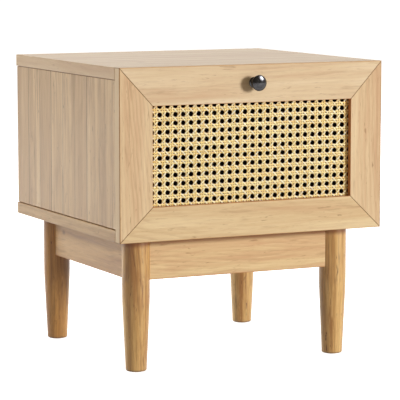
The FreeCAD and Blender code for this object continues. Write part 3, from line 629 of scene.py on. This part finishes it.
class Weave:
    """Collects the strands of the cane as one mesh."""

    def __init__(self):
        self.points = []
        self.faces = []
        self.kinds = []

    def strand(self, path, width, kind, dice):
        """A flat strand with a rounded face, swept along (place, lift) pairs. Lift is towards -Y."""
        wide = width * dice.uniform(0.93, 1.04)
        thick = STRAND_THICKNESS * dice.uniform(0.92, 1.08)
        count = len(STRAND_PROFILE)
        first = len(self.points)
        for index, (spot, lift) in enumerate(path):
            before = path[max(index - 1, 0)][0]
            after = path[min(index + 1, len(path) - 1)][0]
            run = (after - before).normalized()
            across = Vector((-run.z, 0.0, run.x))
            for side, rise in STRAND_PROFILE:
                point = spot + across * (side * wide)
                point.y -= lift + (rise - 0.5) * thick
                self.points.append(point)
        for ring in range(len(path) - 1):
            for side in range(count):
                a = first + ring * count + side
                b = first + ring * count + (side + 1) % count
                self.faces.append((a, b, b + count, a + count))
                self.kinds.append(kind)
        last = first + (len(path) - 1) * count
        self.faces.append(tuple(first + side for side in reversed(range(count))))
        self.faces.append(tuple(last + side for side in range(count)))
        self.kinds.extend((kind, kind))

    def mesh(self, name):
        mesh = bpy.data.meshes.new(name)
        mesh.from_pydata(self.points, [], self.faces)
        for face, kind in zip(mesh.polygons, self.kinds):
            face.material_index = kind
            face.use_smooth = True
        mesh.update()
        return mesh


def pair_lift(distance, turn):
    """How far a strand rises over one strand of a crossing pair and dips under the other."""
    if abs(distance) > 2 * PAIR_OFFSET:
        return 0.0
    return turn * WEAVE_LIFT * math.sin(math.pi * distance / (2 * PAIR_OFFSET))


def diagonal_lift(x, hole_x, turn):
    """Diagonals pass over the uprights and under the cross strands, or the other way round."""
    wave = math.cos(2 * math.pi * (x - hole_x) / PITCH)
    return turn * DIAGONAL_LIFT * max(-1.0, min(1.0, 1.6 * wave))


def nearest(value, origin):
    """The signed distance from a pair's middle, with pairs midway between the holes."""
    phase = (value - origin) / PITCH - 0.5
    return (phase - round(phase)) * PITCH


def weave_cane(low, high):
    """The cane sheet between two corners of the panel it stands for."""
    dice = random.Random(WEAVE_SEED)
    weave = Weave()
    y = (low.y + high.y) / 2
    hole_x = FIRST_HOLE_X
    hole_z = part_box("top_panel")[1].z - FIRST_HOLE_DROP
    step = PITCH / STEPS_PER_PITCH
    steps_up = int((high.z - low.z) / step)
    steps_across = int((high.x - low.x) / step)
    columns = range(-1, int((high.x - low.x) / PITCH) + 1)
    rows = range(-1, int((high.z - low.z) / PITCH) + 1)
    for column in columns:
        middle = hole_x + (column + 0.5) * PITCH
        for turn in (-1, 1):
            x = middle + turn * PAIR_OFFSET + dice.uniform(-STRAND_SHIFT, STRAND_SHIFT) * MM
            if low.x + STRAND_WIDTH / 2 < x < high.x - STRAND_WIDTH / 2:
                heights = [low.z + i * step for i in range(steps_up + 1)]
                path = [(Vector((x, y, z)), pair_lift(nearest(z, hole_z), turn)) for z in heights]
                weave.strand(path, STRAND_WIDTH, 0, dice)
    for row in rows:
        middle = hole_z - (row + 0.5) * PITCH
        for turn in (-1, 1):
            z = middle + turn * PAIR_OFFSET + dice.uniform(-STRAND_SHIFT, STRAND_SHIFT) * MM
            if low.z + STRAND_WIDTH / 2 < z < high.z - STRAND_WIDTH / 2:
                places = [low.x + i * step for i in range(steps_across + 1)]
                path = [(Vector((x, y, z)), pair_lift(nearest(x, hole_x), -turn)) for x in places]
                weave.strand(path, STRAND_WIDTH, 1, dice)
    for kind, slope in ((2, 1), (3, -1)):
        add_diagonals(weave, low, high, (hole_x, y, hole_z), slope, kind, dice)
    return weave


def add_diagonals(weave, low, high, origin, slope, kind, dice):
    """Every diagonal of one slope that crosses the sheet, on lines halfway between the holes."""
    hole_x, y, hole_z = origin
    margin = DIAGONAL_WIDTH / 2
    span = int((high.x - low.x + high.z - low.z) / PITCH) + 2
    step = PITCH / STEPS_PER_PITCH
    for line in range(-span, span):
        shift = (line + 0.5) * PITCH + dice.uniform(-DIAGONAL_SHIFT, DIAGONAL_SHIFT) * MM
        path = []
        for i in range(int((high.x - low.x) / step) + 1):
            x = low.x + margin + i * step
            z = hole_z + slope * (x - hole_x) + shift
            if x < high.x - margin and low.z + margin < z < high.z - margin:
                path.append((Vector((x, y, z)), diagonal_lift(x, hole_x, -slope)))
        if len(path) > 2:
            weave.strand(path, DIAGONAL_WIDTH, kind, dice)


def cane_material(name, direction, tones, seed, middle):
    """Pale glossy cane skin, with painted shade deeper in the weave than its middle. direction is the
    strand's own, in XZ, so that tones follow each strand."""
    graph = Graph(name)
    x, y, z = graph.split(graph.place.outputs["Object"])
    run_x, run_z = direction
    along = graph.math("ADD", graph.math("MULTIPLY", x, run_x), graph.math("MULTIPLY", z, run_z))
    across = graph.math("SUBTRACT", graph.math("MULTIPLY", x, run_z), graph.math("MULTIPLY", z, run_x))
    flat = graph.add("ShaderNodeCombineXYZ", {0: along, 1: across, 2: seed}).outputs[0]
    marks = []
    for scale, detail, rough in CANE_NOISES:
        marks.append(graph.noise(graph.vector("MULTIPLY", flat, scale), 1.0, detail, rough).outputs["Fac"])
    strand_tone, fibre, stain = marks
    tone = graph.ramp(strand_tone, list(zip((0.30, 0.52, 0.72), tones)))
    tone = graph.tint(graph.fade(stain, 0.56, 0.74), tone, CANE_STAIN)
    tone = graph.mix(graph.scaled(fibre, 0.0, 0.25), tone, CANE_FIBRE)
    # Painted shade: browner the deeper a face lies in the weave.
    deep_shade = graph.fade(graph.math("SUBTRACT", y, middle), -0.32 * MM, 0.14 * MM)
    tone = graph.tint(deep_shade, tone, CANE_DEEP_SHADE)
    return graph.finish(tone, graph.scaled(fibre, 0.26, 0.42), fibre, 0.00006)


def make_cane():
    low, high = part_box("cane_panel")
    mesh = weave_cane(low, high).mesh("cane_weave")
    slant = math.sqrt(0.5)
    directions = ((0.0, 1.0), (1.0, 0.0), (slant, slant), (slant, -slant))
    names = ("cane_uprights", "cane_crossing", "cane_rising", "cane_falling")
    for index, (name, direction) in enumerate(zip(names, directions)):
        tones = GRID_CANE if index < 2 else HIGHLIT_SLANT_CANE
        mesh.materials.append(cane_material(name, direction, tones, 1.3 * index, (low.y + high.y) / 2))
    cane = add_object("cane_weave", mesh)
    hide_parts("cane_panel")
    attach(cane, "drawer")


# ---------------------------------------------------------------- floor, light and camera

FLOOR_SIZE = 80.0
DOME_RADIUS = 24.0
CAMERA_AZIMUTH = 0.4545
CAMERA_ELEVATION = 0.1201
CAMERA_DISTANCE = 3.518
CAMERA_LENS = 200.1
CAMERA_SENSOR = 36.0
AIM_FROM_FRONT = Vector((6.95, 198.0, -225.5)) * MM
WHITE = (1.0, 1.0, 1.0)
WARM = (1.0, 0.985, 0.965)
NEUTRAL = (0.99, 0.995, 1.0)
COOL = (0.92, 0.95, 1.0)
SKY = (1.0, 0.81, 0.56, 1.0)
SKY_STRENGTH = 0.24
FLOOR_GLOW = 0.92
DOME_GLOW = 1.0


def glowing(graph, strength):
    """Takes the gloss off a finished material, and makes it glow white."""
    graph.shader.inputs["Specular IOR Level"].default_value = 0.0
    graph.shader.inputs["Emission Color"].default_value = (*WHITE, 1.0)
    graph.shader.inputs["Emission Strength"].default_value = strength
    return graph.material


def make_floor():
    mesh = bpy.data.meshes.new("floor")
    half = FLOOR_SIZE / 2
    corners = [(-half, -half, 0), (half, -half, 0), (half, half, 0), (-half, half, 0)]
    mesh.from_pydata(corners, [], [(0, 1, 2, 3)])
    floor = add_object("floor", mesh)
    graph = Graph("pale_floor")
    mottle = graph.noise(graph.place.outputs["Object"], 3.0, 3.0).outputs["Fac"]
    tone = graph.ramp(mottle, [(0.3, srgb(252, 252, 252)), (0.7, srgb(255, 255, 255))])
    graph.finish(tone, 0.9)
    mesh.materials.append(glowing(graph, FLOOR_GLOW))
    floor.visible_diffuse = False


def make_backdrop():
    """A plain white dome round the scene, seen only by the camera, so that it lights nothing."""
    mesh = bpy.data.meshes.new("backdrop_dome")
    shell = bmesh.new()
    bmesh.ops.create_uvsphere(shell, u_segments=32, v_segments=16, radius=DOME_RADIUS)
    shell.to_mesh(mesh)
    shell.free()
    dome = add_object("backdrop_dome", mesh)
    graph = Graph("backdrop_white")
    graph.finish((0.0, 0.0, 0.0, 1.0), 1.0)
    mesh.materials.append(glowing(graph, DOME_GLOW))
    dome.visible_diffuse = False
    dome.visible_glossy = False
    dome.visible_shadow = False


def area_light(name, azimuth, elevation, distance, size, power, colour, diffuse=True, glossy=True, only=()):
    """A square area light in degrees and metres, aimed at the middle of the object. Azimuth 0 is in front
    of it. diffuse or glossy leaves out one kind of light, and only names the pieces that it lights."""
    data = bpy.data.lights.new(name, "AREA")
    data.size = size
    data.energy = power
    data.color = colour
    light = add_object(name, data)
    turn, rise = math.radians(azimuth), math.radians(elevation)
    away = Vector((math.sin(turn) * math.cos(rise), -math.cos(turn) * math.cos(rise), math.sin(rise)))
    light.location = (cad_low + cad_high) / 2 + away * distance
    light.rotation_mode = "QUATERNION"
    light.rotation_quaternion = away.to_track_quat("Z", "Y")
    light.visible_camera = False
    light.visible_diffuse = diffuse
    light.visible_glossy = glossy
    if only:
        lit = bpy.data.collections.new(name + "_lights")
        for piece in only:
            lit.objects.link(bpy.data.objects[piece])
        light.light_linking.receiver_collection = lit


def make_lights():
    world = bpy.data.worlds.new("studio")
    world.use_nodes = True
    sky = world.node_tree.nodes["Background"]
    sky.inputs["Color"].default_value = SKY
    sky.inputs["Strength"].default_value = SKY_STRENGTH
    bpy.context.scene.world = world
    shiny = LEGS + ("cane_weave",)
    # name, azimuth, elevation, distance, size, power, colour
    area_light("key", 31, 9.5, 6.0, 1.3, 285.0, WARM, glossy=False)
    area_light("sheen", 31, 9.5, 6.0, 1.3, 265.0, WARM, diffuse=False, only=shiny)
    area_light("left_fill", -140, 20, 4.0, 1.8, 105.0, NEUTRAL, glossy=False)
    area_light("overhead", 170, 62, 4.0, 1.4, 30.0, COOL)
    area_light("glint", 50, 40, 2.6, 1.3, 135.0, WHITE, diffuse=False, only=("knob",) + shiny)
    area_light("backdrop", 154, 14, 4.0, 3.2, 34.0, COOL)


def make_camera():
    data = bpy.data.cameras.new("camera")
    data.lens = CAMERA_LENS
    data.sensor_width = CAMERA_SENSOR
    camera = add_object("camera", data)
    aim = Vector((0.0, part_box("front_top_rail")[0].y, cad_high.z)) + AIM_FROM_FRONT
    sight = Vector((
        math.sin(CAMERA_AZIMUTH) * math.cos(CAMERA_ELEVATION),
        math.cos(CAMERA_AZIMUTH) * math.cos(CAMERA_ELEVATION),
        -math.sin(CAMERA_ELEVATION),
    ))
    camera.location = aim - sight * CAMERA_DISTANCE
    camera.rotation_mode = "QUATERNION"
    camera.rotation_quaternion = sight.to_track_quat("-Z", "Y")
    bpy.context.scene.camera = camera


bpy.context.scene.view_settings.view_transform = "Standard"
dress_carcase()
dress_front()
dress_base()
dress_hidden_wood()
dress_hardware()
make_cane()
make_floor()
make_backdrop()
make_lights()
make_camera()
